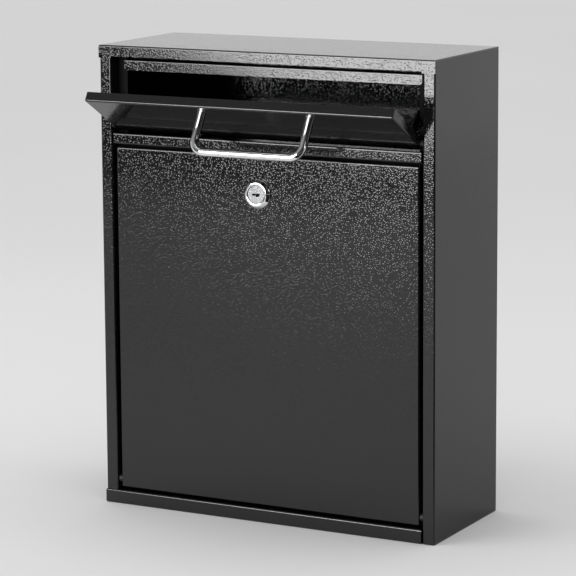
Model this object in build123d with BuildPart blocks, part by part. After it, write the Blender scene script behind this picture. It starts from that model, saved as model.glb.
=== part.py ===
from build123d import *
import os
from math import cos, radians, sin

# Locking wall mailbox of folded sheet steel: a casing with a mail slot closed by a hinged flap,
# and below it a drop-down door with a cam lock.
# Frame: X to the right, Y to the back, Z up. The origin is the middle of the casing's base.
# The pieces stand as in use with mail going in: flap open on its stop, door closed, lock open.

# Casing
case_width = 300.0          # over the ends of the top and bottom lips
case_height = 380.0
case_depth = 120.0
sheet = 1.0                 # steel of every folded panel
bend_radius = 0.4           # inside radius of every fold
lip_overhang = 0.3          # the lips reach this far past each side panel
strip_width = 10.4          # front strip of a side panel
rebate_depth = 12.0         # from the face of the strips back to the stop flanges
jamb_width = 8.4            # stop flange beside the door and the slot
rear_flange = 12.0
rear_corner = 3.0           # rounded rear corners of the side panels
top_lip = 9.0
top_lip_ends = 10.5         # the top lip is deeper where it covers the strips
lip_corner = 1.8
bottom_lip = 11.5
base_stop = 8.0             # stop flange that rises behind the door's lower edge
seam_gap = 0.7              # between a panel's end and a side panel's return
wall_hole = 8.0
wall_hole_span = 220.0      # across the back
wall_hole_rise = 320.0      # up the back, the upper pair behind the header

# Rails across the front
header_drop = 20.9          # lower edge of the header below the top
header_top_drop = 12.2      # its upper edge, which leaves a dark slit under the top lip
header_end_gap = 6.0
header_flange = 8.5
header_corner = 2.5
crossbar_drop = 71.0        # upper edge of the crossbar below the top
crossbar_height = 9.0
crossbar_end_gap = 1.5
strike_drop = 8.5           # flange under the crossbar that the door and the cam meet

# Slot flap, closed sizes
flap_angle = 60.0           # opening angle on the stops
flap_side_gap = 3.2
flap_bottom_gap = 3.0       # above the crossbar
flap_top_gap = 0.8          # below the top lip
flap_setback = 0.5          # face behind the lip's face
flap_depth = 8.0
flap_pin_height = 3.5       # above the flap's lower edge
flap_pin_setback = 3.6      # behind the flap's face
flap_pin_diameter = 3.0
flap_pin_head = 5.0
arm_sheet = 1.5
arm_inset = 0.8             # from the jamb flange's edge
arm_foot_width = 12.0
arm_root_height = 13.0
arm_ear_height = 8.0
arm_ear_rise = 16.0         # lower end of the ear above the pins, flap open
arm_ear_overlap = 4.4       # of the ear behind the jamb flange
bumper_diameter = 7.0
bumper_height_up = 8.5      # above the flap pins
bumper_stem = 3.0
bumper_stem_length = 2.5

# Pull handle on the flap
handle_span = 96.0          # between the legs' centres
handle_wire = 6.8
handle_reach = 26.6         # from the flap's face to the bar's centre
handle_bend = 10.0
handle_from_top = 25.9      # below the flap's top edge
handle_shift = 5.0          # to the right of the middle
handle_screw = 4.0
handle_screw_grip = 8.0     # length of the screw inside a leg
handle_bore = 9.0           # depth of the tapped hole in a leg
handle_washer_diameter = 10.0
washer_thickness = 0.8

# Door
door_side_gap = 3.35
door_top_gap = 2.5
door_bottom_gap = 2.5
door_setback = 1.0          # face behind the face of the strips
door_pin_diameter = 5.0
door_pin_head = 6.4
door_pin_offset = 6.2       # pins to the rims' rear edge and to the lower edge

# Cam lock
lock_shift = -5.5           # to the left of the middle
lock_drop = 30.5            # axis below the door's top edge
bezel_diameter = 23.5
bezel_front_diameter = 19.0
bezel_height = 3.5
bezel_edge = 1.0
lock_body_diameter = 19.0
lock_body_flats = 16.0
plug_face_diameter = 15.0
plug_face_length = 3.0
plug_sink = 0.5             # plug face below the bezel's face
plug_diameter = 12.4
keyway_width = 6.6
keyway_height = 1.7
keyway_tail = 0.8
keyway_depth = 12.2
stop_lug_diameter = 15.0
stop_lug_length = 2.0
stop_lug_angle = 40.0
stop_lug_play = 1.0         # degrees at each end of the quarter turn
lock_throw = 90.0
lock_nut_across = 24.0
lock_nut_height = 3.0
cam_reach = 34.5            # axis to tip
cam_width = 16.0
cam_thickness = 2.5
cam_tip_width = 11.2
cam_tip_length = 4.0
cam_square = 7.0
cam_screw = 4.0
cam_screw_grip = 5.0
cam_washer_diameter = 12.0
wafer_count = 4
wafer_pitch = 1.9
wafer_thickness = 1.0
wafer_width = 9.2
wafer_height = 5.0
wafer_window = 7.0
wafer_spring_length = 1.4
wafer_spring_diameter = 0.9

# Clearances
fit = 0.05                  # radial, around fixed shanks
running_fit = 0.1           # radial, around turning pins and the plug
stop_gap = 0.3              # between faces that meet at a stop
side_play = 0.3             # beside pieces that turn

# Head heights of the small fasteners
pin_head_height = 1.2
peen_height = 0.8
peen_spread = 0.3           # a peened end stands this far past its shank
screw_head_ratio = 2.0      # head over shank diameter
screw_head_height = 2.4
recess_depth = 1.2

# Planes and edges of the casing
front = -case_depth / 2
back = case_depth / 2
strip_face = front + sheet
rebate = strip_face + rebate_depth
rebate_back = rebate + sheet
side_face = case_width / 2 - lip_overhang
side_inner = side_face - sheet
opening_half = side_face - strip_width
jamb_edge = opening_half - jamb_width
side_top = case_height - sheet
panel_end = opening_half - seam_gap
flange_end = side_face - rear_flange - seam_gap
crossbar_top = case_height - crossbar_drop
crossbar_bottom = crossbar_top - crossbar_height
header_face = rebate - sheet
header_top = case_height - header_top_drop

# Slot flap
flap_half = opening_half - flap_side_gap
flap_bottom = crossbar_top + flap_bottom_gap
flap_top = case_height - top_lip - flap_top_gap
flap_height = flap_top - flap_bottom
flap_pin_y = front + flap_setback + flap_pin_setback
flap_pin_z = flap_bottom + flap_pin_height
tilt = radians(flap_angle)
flap_up = Vector(0, -sin(tilt), cos(tilt))
flap_out = Vector(0, -cos(tilt), -sin(tilt))
flap_axis = Vector(0, flap_pin_y, flap_pin_z)
# Local x is X, local y runs up the flap and local z points out of its face.
flap_face_frame = Plane(origin=flap_axis + flap_out * flap_pin_setback, x_dir=(1, 0, 0), z_dir=flap_out)
flap_inner = flap_pin_setback - sheet
handle_y = flap_height - flap_pin_height - handle_from_top
handle_frame = Plane(
    origin=flap_axis + flap_up * handle_y + flap_out * flap_pin_setback,
    x_dir=(1, 0, 0),
    z_dir=flap_out,
)

# Door
door_half = opening_half - door_side_gap
door_bottom = bottom_lip + door_bottom_gap
door_top = crossbar_bottom - door_top_gap
door_face = strip_face + door_setback
door_depth = rebate - stop_gap - door_face
door_pin_y = rebate - stop_gap - door_pin_offset
door_pin_z = door_bottom + door_pin_offset

# Lock: local z points out of the door's face
lock_x = lock_shift
lock_z = door_top - lock_drop
lock_frame = Plane(origin=(lock_x, door_face, lock_z), x_dir=(1, 0, 0), z_dir=(0, -1, 0))
cam_front = -(rebate_back + stop_gap - door_face)
housing_rear = cam_front + running_fit
plug_front = bezel_height - plug_sink
plug_shoulder = plug_front - plug_face_length
cam_rear = cam_front - cam_thickness


def folded_sheet(skin):
    """Section of a folded sheet. The steel lies to the right of the skin's points."""
    radii = []
    for before, corner, after in zip(skin, skin[1:], skin[2:]):
        along = (corner[0] - before[0], corner[1] - before[1])
        onward = (after[0] - corner[0], after[1] - corner[1])
        turns_left = along[0] * onward[1] - along[1] * onward[0] > 0
        radii.append(bend_radius if turns_left else bend_radius + sheet)
    with BuildSketch() as section:
        with BuildLine():
            FilletPolyline(*skin, radius=radii)
            offset(amount=sheet, side=Side.RIGHT)
        make_face()
    return section.sketch


def sector(radius, start, sweep):
    """Slice of a disc about the origin, from a start angle through a sweep in degrees."""
    first = (radius * cos(radians(start)), radius * sin(radians(start)))
    last = (radius * cos(radians(start + sweep)), radius * sin(radians(start + sweep)))
    with BuildSketch() as slice_of_disc:
        with BuildLine():
            Line((0, 0), first)
            CenterArc((0, 0), radius, start, sweep)
            Line(last, (0, 0))
        make_face()
    return slice_of_disc.sketch


def keep_piece(piece, name):
    """Label a finished piece and write it under its name."""
    piece.label = name
    export_step(piece, os.path.join("parts", name + ".step"))


os.makedirs("parts", exist_ok=True)

# Side panels: web, rear flange, front strip, return and stop flange folded from one sheet.
# Pivot pins pass through the return, and a rubber buffer sits in the stop flange.
side_skin = [
    (side_face - rear_flange, back),
    (side_face, back),
    (side_face, strip_face),
    (opening_half, strip_face),
    (opening_half, rebate),
    (jamb_edge, rebate),
]
bumper_x = flap_half - sheet / 2
bumper_z = flap_pin_z + bumper_height_up
with BuildPart() as right_side_panel:
    with BuildSketch():
        add(folded_sheet(side_skin))
    extrude(amount=side_top)
    with BuildSketch(Plane.YZ) as side_outline:
        with Locations(((strip_face + back) / 2, side_top / 2)):
            Rectangle(back - strip_face, side_top)
        rear_points = side_outline.vertices().group_by(Axis.X)[-1]
        fillet(rear_points, rear_corner)
        strip_top = side_outline.vertices().group_by(Axis.X)[0].sort_by(Axis.Y)[-1]
        chamfer(strip_top, bend_radius)
    extrude(amount=case_width, mode=Mode.INTERSECT)
    with BuildSketch(Plane.YZ.offset(opening_half)):
        with Locations((door_pin_y, door_pin_z)):
            Circle(door_pin_diameter / 2 + fit)
        with Locations((flap_pin_y, flap_pin_z)):
            Circle(flap_pin_diameter / 2 + fit)
    extrude(amount=sheet, mode=Mode.SUBTRACT)
    with BuildSketch(Plane.XZ.offset(-rebate)):
        with Locations((bumper_x, bumper_z)):
            Circle(bumper_stem / 2 + fit)
    extrude(amount=-sheet, mode=Mode.SUBTRACT)
keep_piece(right_side_panel.part, "right_side_panel")

with BuildPart() as left_side_panel:
    mirror(right_side_panel.part, about=Plane.YZ)
keep_piece(left_side_panel.part, "left_side_panel")

# Top panel: lies on the side panels. Its lip covers the upper ends of the strips.
top_skin = [
    (front, case_height - top_lip_ends),
    (front, case_height),
    (back, case_height),
    (back, case_height - rear_flange),
]
with BuildPart() as top_panel:
    with BuildSketch(Plane.YZ):
        add(folded_sheet(top_skin))
    extrude(amount=case_width / 2, both=True)
    with BuildSketch(Plane.XZ) as lip_outline:
        with Locations((0, case_height - rear_flange / 2)):
            Rectangle(case_width, rear_flange)
        upper_corners = lip_outline.vertices().group_by(Axis.Y)[-1]
        fillet(upper_corners, bend_radius + sheet)
    extrude(amount=case_depth, both=True, mode=Mode.INTERSECT)
    with BuildSketch(Plane.XZ.offset(-front)):
        with Locations((0, case_height - top_lip_ends)):
            Rectangle(2 * panel_end, 2 * (top_lip_ends - top_lip))
    extrude(amount=-sheet, mode=Mode.SUBTRACT)
    lip_ends = top_panel.edges().filter_by(Axis.Y).group_by(Axis.X)
    fillet(lip_ends[0].sort_by(Axis.Z)[0], lip_corner)
    lip_ends = top_panel.edges().filter_by(Axis.Y).group_by(Axis.X)
    fillet(lip_ends[-1].sort_by(Axis.Z)[0], lip_corner)
    with BuildSketch(Plane.XZ.offset(-back)):
        with Locations((0, side_top - rear_flange / 2)):
            Rectangle(case_width, rear_flange)
            Rectangle(2 * flange_end, rear_flange, mode=Mode.SUBTRACT)
    extrude(amount=2 * sheet, mode=Mode.SUBTRACT)
    with BuildSketch(Plane.XY) as plan_outline:
        Rectangle(case_width, case_depth)
        fillet(plan_outline.vertices().group_by(Axis.Y)[-1], lip_corner)
    extrude(amount=case_height, mode=Mode.INTERSECT)
keep_piece(top_panel.part, "top_panel")

# Bottom panel: web between the side panels, front lip with return and stop flange.
# The lip covers the left strip's foot and ends beside the right one.
bottom_skin = [
    (back, rear_flange),
    (back, 0),
    (front, 0),
    (front, bottom_lip),
    (rebate, bottom_lip),
    (rebate, bottom_lip + base_stop),
]
base_height = bottom_lip + base_stop
with BuildPart() as bottom_panel:
    with BuildSketch(Plane.YZ):
        add(folded_sheet(bottom_skin))
    extrude(amount=case_width / 2, both=True)
    # Room for the strips, returns and stop flanges of the side panels
    with BuildSketch(Plane.XY):
        for side in (-1, 1):
            with Locations((side * (case_width / 2 + panel_end) / 2, (strip_face + rebate_back) / 2)):
                Rectangle(case_width / 2 - panel_end, rebate_back - strip_face)
            with Locations((side * (case_width / 2 + side_inner) / 2, (strip_face + back) / 2)):
                Rectangle(case_width / 2 - side_inner, back - strip_face)
            with Locations((side * (case_width / 2 + flange_end) / 2, back - rear_corner / 2)):
                Rectangle(case_width / 2 - flange_end, rear_corner)
        with Locations(((case_width / 2 + panel_end) / 2, front + sheet / 2)):
            Rectangle(case_width / 2 - panel_end, sheet)
    extrude(amount=base_height, mode=Mode.SUBTRACT)
    with BuildSketch(Plane.XY):
        with Locations((0, rebate + sheet / 2)):
            Rectangle(case_width, sheet)
            Rectangle(2 * (jamb_edge - seam_gap), sheet, mode=Mode.SUBTRACT)
    extrude(amount=base_height, mode=Mode.SUBTRACT)
    with BuildSketch(Plane.XZ) as base_outline:
        with Locations((0, bottom_lip / 2)):
            Rectangle(case_width, bottom_lip)
        fillet(base_outline.vertices(), bend_radius + sheet)
        with Locations((0, base_height / 2)):
            Rectangle(2 * panel_end, base_height)
    extrude(amount=case_depth, both=True, mode=Mode.INTERSECT)
keep_piece(bottom_panel.part, "bottom_panel")

# Back panel: stands on the base inside all four rear flanges, with four holes for wall screws.
with BuildPart() as back_panel:
    with BuildSketch(Plane.XZ.offset(-(back - sheet))):
        with Locations((0, case_height / 2)):
            Rectangle(2 * side_inner, case_height - 2 * sheet)
            with GridLocations(wall_hole_span, wall_hole_rise, 2, 2):
                Circle(wall_hole / 2, mode=Mode.SUBTRACT)
    extrude(amount=sheet)
    rear_rim = back_panel.faces().sort_by(Axis.Y)[-1].outer_wire().edges()
    chamfer(rear_rim, bend_radius)
keep_piece(back_panel.part, "back_panel")

# Header rail: an angle whose ends rest on the stop flanges, a slit below the top lip.
header_half = opening_half - header_end_gap
header_skin = [
    (header_face, case_height - header_drop),
    (header_face, header_top),
    (header_face + header_flange, header_top),
]
with BuildPart() as header_rail:
    with BuildSketch(Plane.YZ):
        add(folded_sheet(header_skin))
    extrude(amount=header_half, both=True)
    with BuildSketch(Plane.XY.offset(header_top)):
        with Locations((0, rebate + header_flange / 2)):
            Rectangle(2 * header_half, header_flange)
            Rectangle(2 * (jamb_edge - seam_gap), header_flange, mode=Mode.SUBTRACT)
    extrude(amount=-2 * sheet, mode=Mode.SUBTRACT)
    lower_corners = header_rail.edges().filter_by(Axis.Y).group_by(Axis.Z)[0]
    fillet(lower_corners, header_corner)
keep_piece(header_rail.part, "header_rail")

# Crossbar between slot and door, with the strike flange below it.
crossbar_skin = [
    (rebate, crossbar_bottom - strike_drop),
    (rebate, crossbar_bottom),
    (strip_face, crossbar_bottom),
    (strip_face, crossbar_top),
    (rebate, crossbar_top),
]
crossbar_half = opening_half - crossbar_end_gap
with BuildPart() as crossbar:
    with BuildSketch(Plane.YZ):
        add(folded_sheet(crossbar_skin))
    extrude(amount=crossbar_half, both=True)
    with BuildSketch(Plane.XZ.offset(-rebate)):
        with Locations((0, (crossbar_top + crossbar_bottom - strike_drop) / 2)):
            Rectangle(2 * crossbar_half, crossbar_height + strike_drop)
            Rectangle(2 * (jamb_edge - seam_gap), crossbar_height + strike_drop, mode=Mode.SUBTRACT)
    extrude(amount=-sheet, mode=Mode.SUBTRACT)
keep_piece(crossbar.part, "crossbar")


def rounded_block(frame, half_width, low, high, depth, roll, edge):
    """Block behind a plane: face edges and corners rounded, lower rear edge rolled unless roll is zero."""
    with BuildPart() as block:
        with BuildSketch(frame):
            with Locations((0, (low + high) / 2)):
                Rectangle(2 * half_width, high - low)
        extrude(amount=-depth)
        if roll > 0:
            along = block.edges().filter_by(Axis.X)
            lower = along.sort_by(lambda bound: bound.center().dot(frame.y_dir))[:2]
            fillet(sorted(lower, key=lambda bound: bound.center().dot(frame.z_dir))[0], roll)
        face = block.faces().sort_by(lambda bound: bound.center().dot(frame.z_dir))[-1]
        straight = block.edges().filter_by(GeomType.LINE)
        corners = straight.filter_by(lambda bound: abs(bound.tangent_at(0).dot(frame.z_dir)) > 0.999)
        fillet(list(face.edges()) + list(corners), edge)
    return block.part


def tray(frame, half_width, low, high, depth, roll):
    """Pressed panel: face on the plane, rims behind it, open at the rear.

    The lower rim may be rolled up at the rear to a radius, and zero leaves it straight.
    """
    inner_roll = max(roll - sheet, 0)
    inner_depth = depth - 2 * sheet
    with BuildPart() as panel:
        add(rounded_block(frame, half_width, low, high, depth, roll, bend_radius + sheet))
        hollow = (half_width - sheet, low + sheet, high - sheet, inner_depth, inner_roll, bend_radius)
        add(rounded_block(frame.offset(-sheet), *hollow), mode=Mode.SUBTRACT)
        with BuildSketch(frame.offset(-inner_depth)):
            mouth_low = low + max(roll, sheet)
            with Locations((0, (mouth_low + high - sheet) / 2)):
                Rectangle(2 * (half_width - sheet), high - sheet - mouth_low)
        extrude(amount=-depth, mode=Mode.SUBTRACT)
    return panel.part


# Slot flap: a tray on two pins, with holes for the handle's screws.
flap_tray = tray(
    flap_face_frame, flap_half, -flap_pin_height, flap_height - flap_pin_height, flap_depth, 0
)
with BuildPart() as slot_flap:
    add(flap_tray)
    with BuildSketch(Plane.YZ):
        with Locations((flap_pin_y, flap_pin_z)):
            Circle(flap_pin_diameter / 2 + running_fit)
    extrude(amount=case_width / 2, both=True, mode=Mode.SUBTRACT)
    with BuildSketch(handle_frame):
        with Locations((handle_shift, 0)):
            with GridLocations(handle_span, 1, 2, 1):
                Circle(handle_screw / 2 + 2 * running_fit)
    extrude(amount=-2 * sheet, mode=Mode.SUBTRACT)
keep_piece(slot_flap.part, "slot_flap")

# Pull handle: one bent chromed wire, its legs bored for the screws.
with BuildPart() as flap_handle:
    left_leg = handle_shift - handle_span / 2
    right_leg = handle_shift + handle_span / 2
    leg_plane = Plane(
        origin=handle_frame.origin,
        x_dir=(1, 0, 0),
        z_dir=flap_up * -1,
    )
    with BuildLine(leg_plane):
        FilletPolyline(
            (left_leg, 0),
            (left_leg, handle_reach),
            (right_leg, handle_reach),
            (right_leg, 0),
            radius=handle_bend,
        )
    with BuildSketch(handle_frame):
        with Locations((left_leg, 0)):
            Circle(handle_wire / 2)
    sweep()
    with BuildSketch(handle_frame):
        with Locations((handle_shift, 0)):
            with GridLocations(handle_span, 1, 2, 1):
                Circle(handle_screw / 2 + fit)
    extrude(amount=handle_bore, mode=Mode.SUBTRACT)
keep_piece(flap_handle.part, "flap_handle")

# Washers and cross-head screws that hold the handle from inside the flap
washer_frame = handle_frame.offset(-sheet)
with BuildPart() as handle_washers:
    with BuildSketch(washer_frame):
        with Locations((handle_shift, 0)):
            with GridLocations(handle_span, 1, 2, 1):
                Circle(handle_washer_diameter / 2)
                Circle(handle_screw / 2 + 2 * running_fit, mode=Mode.SUBTRACT)
    extrude(amount=-washer_thickness)
keep_piece(handle_washers.part, "handle_washers")


def cross_head_screws(frame, shank, grip, places):
    """Pan-head screws seated on the frame's plane, their shanks along its z."""
    with BuildPart(frame) as screws:
        with Locations(*places):
            Cylinder(shank / 2, grip, align=(Align.CENTER, Align.CENTER, Align.MIN))
            Cylinder(
                shank * screw_head_ratio / 2,
                screw_head_height,
                align=(Align.CENTER, Align.CENTER, Align.MAX),
            )
        rear = screws.edges().group_by(lambda edge: round(edge.center().dot(frame.z_dir), 3))[0]
        fillet(rear, screw_head_height / 2)
        with Locations(*[(x, y, -screw_head_height) for x, y in places]):
            for turn in (0, 90):
                Box(
                    shank,
                    shank / 5,
                    recess_depth,
                    rotation=(0, 0, turn),
                    align=(Align.CENTER, Align.CENTER, Align.MIN),
                    mode=Mode.SUBTRACT,
                )
    return screws.part


handle_screw_frame = washer_frame.offset(-washer_thickness)
handle_screws = cross_head_screws(
    handle_screw_frame,
    handle_screw,
    sheet + washer_thickness + handle_screw_grip,
    [(left_leg, 0), (right_leg, 0)],
)
keep_piece(handle_screws, "handle_screws")

# Stop arms: welded to the back of the flap. Each reaches past its jamb flange, and an ear turned
# outwards meets the flange's rear face when the flap is fully open.
arm_outer = jamb_edge - arm_inset
arm_inner = arm_outer - arm_sheet
ear_front = rebate_back + stop_gap
ear_low = flap_pin_z + arm_ear_rise
ear_end = jamb_edge + arm_ear_overlap
root_low = flap_axis + flap_out * flap_inner - flap_up * (flap_pin_height - 2 * sheet)
root_high = flap_axis + flap_out * flap_inner + flap_up * arm_root_height
foot_middle = (root_low + root_high) * 0.5
for side, name in ((-1, "flap_stop_arm_left"), (1, "flap_stop_arm_right")):
    with BuildPart() as stop_arm:
        with BuildSketch(Plane.YZ.offset(side * arm_outer)):
            with BuildLine():
                Polyline(
                    (root_low.Y, root_low.Z),
                    (ear_front + arm_sheet, ear_low),
                    (ear_front + arm_sheet, ear_low + arm_ear_height),
                    (ear_front, ear_low + arm_ear_height),
                    (root_high.Y, root_high.Z),
                    close=True,
                )
            make_face()
        extrude(amount=-side * arm_sheet)
        ear_x = side * (arm_inner + ear_end) / 2
        with Locations((ear_x, ear_front + arm_sheet / 2, ear_low + arm_ear_height / 2)):
            Box(ear_end - arm_inner, arm_sheet, arm_ear_height)
        foot_frame = Plane(
            origin=(side * (arm_outer - arm_foot_width / 2), foot_middle.Y, foot_middle.Z),
            x_dir=(1, 0, 0),
            z_dir=flap_out,
        )
        with BuildSketch(foot_frame):
            Rectangle(arm_foot_width, (root_high - root_low).length)
        extrude(amount=-arm_sheet)
    keep_piece(stop_arm.part, name)

# Rubber buffers that the closed flap's side rims land on
bumper_reach = rebate - (front + flap_setback + flap_depth) - stop_gap
with BuildPart() as flap_bumpers:
    with BuildSketch(Plane.XZ.offset(-rebate)):
        with Locations((-bumper_x, bumper_z), (bumper_x, bumper_z)):
            Circle(bumper_diameter / 2)
    extrude(amount=bumper_reach)
    crowns = flap_bumpers.edges().group_by(Axis.Y)[0]
    fillet(crowns, bumper_reach / 4)
    with BuildSketch(Plane.XZ.offset(-rebate)):
        with Locations((-bumper_x, bumper_z), (bumper_x, bumper_z)):
            Circle(bumper_stem / 2)
    extrude(amount=-bumper_stem_length)
keep_piece(flap_bumpers.part, "flap_bumpers")


def pivot_pin(side, half_width, pin_y, pin_z, diameter, head):
    """Shouldered pin: head inside a panel's rim, tail peened over behind the casing's return."""
    rim_inside = half_width - sheet - side_play
    shank_end = opening_half + sheet
    with BuildPart(Plane(origin=(0, pin_y, pin_z), z_dir=(side, 0, 0))) as pin:
        with Locations((0, 0, rim_inside - pin_head_height)):
            Cylinder(head / 2, pin_head_height, align=(Align.CENTER, Align.CENTER, Align.MIN))
        with Locations((0, 0, rim_inside)):
            Cylinder(diameter / 2, shank_end - rim_inside, align=(Align.CENTER, Align.CENTER, Align.MIN))
        with Locations((0, 0, shank_end)):
            Cylinder(diameter / 2 + peen_spread, peen_height, align=(Align.CENTER, Align.CENTER, Align.MIN))
        ends = pin.edges().filter_by(GeomType.CIRCLE).group_by(Axis.X)
        fillet(ends[0], peen_height / 3)
        fillet(pin.edges().filter_by(GeomType.CIRCLE).group_by(Axis.X)[-1], peen_height / 3)
    return pin.part


def pivot_spacer(side, half_width, pin_y, pin_z, diameter, head):
    """Plastic ring on a pin, between a panel's rim and the casing's return."""
    ring_plane = Plane(origin=(0, pin_y, pin_z), z_dir=(side, 0, 0)).offset(half_width + side_play)
    with BuildPart() as ring:
        with BuildSketch(ring_plane):
            Circle(head / 2)
            Circle(diameter / 2 + fit, mode=Mode.SUBTRACT)
        extrude(amount=opening_half - half_width - side_play)
    return ring.part


for side, hand in ((-1, "left"), (1, "right")):
    flap_pivot = (side, flap_half, flap_pin_y, flap_pin_z, flap_pin_diameter, flap_pin_head)
    keep_piece(pivot_pin(*flap_pivot), "flap_pivot_pin_" + hand)
    keep_piece(pivot_spacer(*flap_pivot), "flap_spacer_" + hand)
    door_pivot = (side, door_half, door_pin_y, door_pin_z, door_pin_diameter, door_pin_head)
    keep_piece(pivot_pin(*door_pivot), "door_pivot_pin_" + hand)
    keep_piece(pivot_spacer(*door_pivot), "door_spacer_" + hand)

# Door: a tray hinged at its foot. Its rolled lower edge turns about the pins and, with the door
# level, the flat under it lands on the stop flange of the bottom panel.
door_frame = Plane(origin=(0, door_face, 0), x_dir=(1, 0, 0), z_dir=(0, -1, 0))
door_tray = tray(door_frame, door_half, door_bottom, door_top, door_depth, door_pin_offset)
with BuildPart() as door_panel:
    add(door_tray)
    with BuildSketch(Plane.YZ):
        with Locations((door_pin_y, door_pin_z)):
            Circle(door_pin_diameter / 2 + running_fit)
    extrude(amount=case_width / 2, both=True, mode=Mode.SUBTRACT)
    with BuildSketch(lock_frame):
        Circle(lock_body_diameter / 2 + fit)
        Rectangle(lock_body_flats + 2 * fit, bezel_diameter, mode=Mode.INTERSECT)
    extrude(amount=-2 * sheet, mode=Mode.SUBTRACT)
keep_piece(door_panel.part, "door_panel")

# Lock housing: tapered bezel outside the door, flatted body behind it, stepped bore for the plug.
# A recess at the rear gives the plug's lug its quarter turn.
plug_bore = plug_diameter / 2 + running_fit
plug_face_bore = plug_face_diameter / 2 + running_fit
with BuildPart() as lock_housing:
    with BuildSketch(Plane(origin=lock_frame.origin, x_dir=(1, 0, 0), z_dir=(0, 0, 1))):
        with BuildLine():
            Polyline(
                (plug_bore, -housing_rear),
                (plug_bore, -plug_shoulder),
                (plug_face_bore, -plug_shoulder),
                (plug_face_bore, -bezel_height),
                (bezel_front_diameter / 2, -bezel_height),
                (bezel_diameter / 2, -bezel_edge),
                (bezel_diameter / 2, 0),
                (lock_body_diameter / 2, 0),
                (lock_body_diameter / 2, -housing_rear),
                close=True,
            )
        make_face()
    revolve(axis=Axis(lock_frame.origin, (0, 1, 0)))
    with BuildSketch(lock_frame):
        Rectangle(bezel_diameter, bezel_diameter)
        Rectangle(lock_body_flats, bezel_diameter, mode=Mode.SUBTRACT)
    extrude(amount=housing_rear, mode=Mode.SUBTRACT)
    with BuildSketch(lock_frame.offset(housing_rear)):
        add(sector(stop_lug_diameter / 2 + fit, -stop_lug_angle / 2, lock_throw + stop_lug_angle))
    extrude(amount=stop_lug_length + fit, mode=Mode.SUBTRACT)
    bezel_rim = lock_housing.edges().filter_by(GeomType.CIRCLE).group_by(Axis.Y)[0]
    fillet(bezel_rim.sort_by(SortBy.RADIUS)[-1], bezel_edge / 2)
keep_piece(lock_housing.part, "lock_housing")

# Lock nut behind the door's sheet
with BuildPart() as lock_nut:
    with BuildSketch(lock_frame.offset(-sheet)):
        RegularPolygon(lock_nut_across / 2, 6, major_radius=False)
        Circle(lock_body_diameter / 2 + fit, mode=Mode.SUBTRACT)
    extrude(amount=-lock_nut_height)
keep_piece(lock_nut.part, "lock_nut")

# Plug: face disc, barrel with wafer slots and keyway, stop lug, square tail for the cam.
wafer_start = plug_shoulder - wafer_pitch
wafer_levels = [wafer_start - place * wafer_pitch for place in range(wafer_count)]
with BuildPart() as lock_plug:
    with BuildSketch(lock_frame.offset(plug_shoulder + fit)):
        Circle(plug_face_diameter / 2)
    extrude(amount=plug_face_length - fit)
    with BuildSketch(lock_frame.offset(cam_front)):
        Circle(plug_diameter / 2)
    extrude(amount=plug_shoulder + fit - cam_front)
    with BuildSketch(lock_frame.offset(housing_rear)):
        lug_sweep = stop_lug_angle - 2 * stop_lug_play
        add(sector(stop_lug_diameter / 2, -lug_sweep / 2, lug_sweep))
    extrude(amount=stop_lug_length)
    with BuildSketch(lock_frame.offset(cam_front)):
        Rectangle(cam_square, cam_square)
    extrude(amount=-(cam_thickness - fit))
    with BuildSketch(lock_frame.offset(plug_front)):
        Rectangle(keyway_width, keyway_height)
        with Locations((keyway_width / 6, -(keyway_height + keyway_tail) / 2)):
            Rectangle(keyway_width / 3, keyway_tail)
    extrude(amount=-keyway_depth, mode=Mode.SUBTRACT)
    for level in wafer_levels:
        with BuildSketch(lock_frame.offset(level + running_fit)):
            Rectangle(wafer_width + 2 * wafer_spring_length, wafer_height + 2 * running_fit)
        extrude(amount=-(wafer_thickness + 2 * running_fit), mode=Mode.SUBTRACT)
    with BuildSketch(lock_frame.offset(cam_rear)):
        Circle(cam_screw / 2 + fit)
    extrude(amount=cam_screw_grip, mode=Mode.SUBTRACT)
    rim = lock_plug.edges().filter_by(GeomType.CIRCLE).group_by(Axis.Y)[0]
    chamfer(rim.sort_by(SortBy.RADIUS)[-1], bend_radius)
keep_piece(lock_plug.part, "lock_plug")

# Wafer tumblers, each a plate with a window for the key. A small coil, drawn as a sleeve,
# presses on the end of each.
with BuildPart() as wafer_tumblers:
    for level in wafer_levels:
        with BuildSketch(lock_frame.offset(level)):
            Rectangle(wafer_width, wafer_height)
            Rectangle(wafer_window, keyway_height + 2 * keyway_tail, mode=Mode.SUBTRACT)
        extrude(amount=-wafer_thickness)
keep_piece(wafer_tumblers.part, "wafer_tumblers")

with BuildPart() as tumbler_springs:
    for level in wafer_levels:
        spring_end = lock_frame.from_local_coords(Vector(wafer_width / 2, 0, level - wafer_thickness / 2))
        with BuildSketch(Plane(origin=spring_end, z_dir=(1, 0, 0))):
            Circle(wafer_spring_diameter / 2)
            Circle(wafer_spring_diameter / 4, mode=Mode.SUBTRACT)
        extrude(amount=wafer_spring_length - running_fit)
keep_piece(tumbler_springs.part, "tumbler_springs")

# Cam: flat steel with a square hole. Lock open it points to the right, and locked it stands up
# behind the crossbar's strike flange.
with BuildPart() as lock_cam:
    with BuildSketch(lock_frame.offset(cam_front)):
        Circle(cam_width / 2)
        with Locations(((cam_reach - cam_tip_length) / 2, 0)):
            Rectangle(cam_reach - cam_tip_length, cam_width)
        with Locations((cam_reach - cam_tip_length, 0)):
            Rectangle(2 * cam_tip_length, cam_tip_width)
        Rectangle(cam_square + 2 * fit, cam_square + 2 * fit, mode=Mode.SUBTRACT)
    extrude(amount=-cam_thickness)
keep_piece(lock_cam.part, "lock_cam")

with BuildPart() as cam_washer:
    with BuildSketch(lock_frame.offset(cam_rear)):
        Circle(cam_washer_diameter / 2)
        Circle(cam_screw / 2 + fit, mode=Mode.SUBTRACT)
    extrude(amount=-washer_thickness)
keep_piece(cam_washer.part, "cam_washer")

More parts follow.
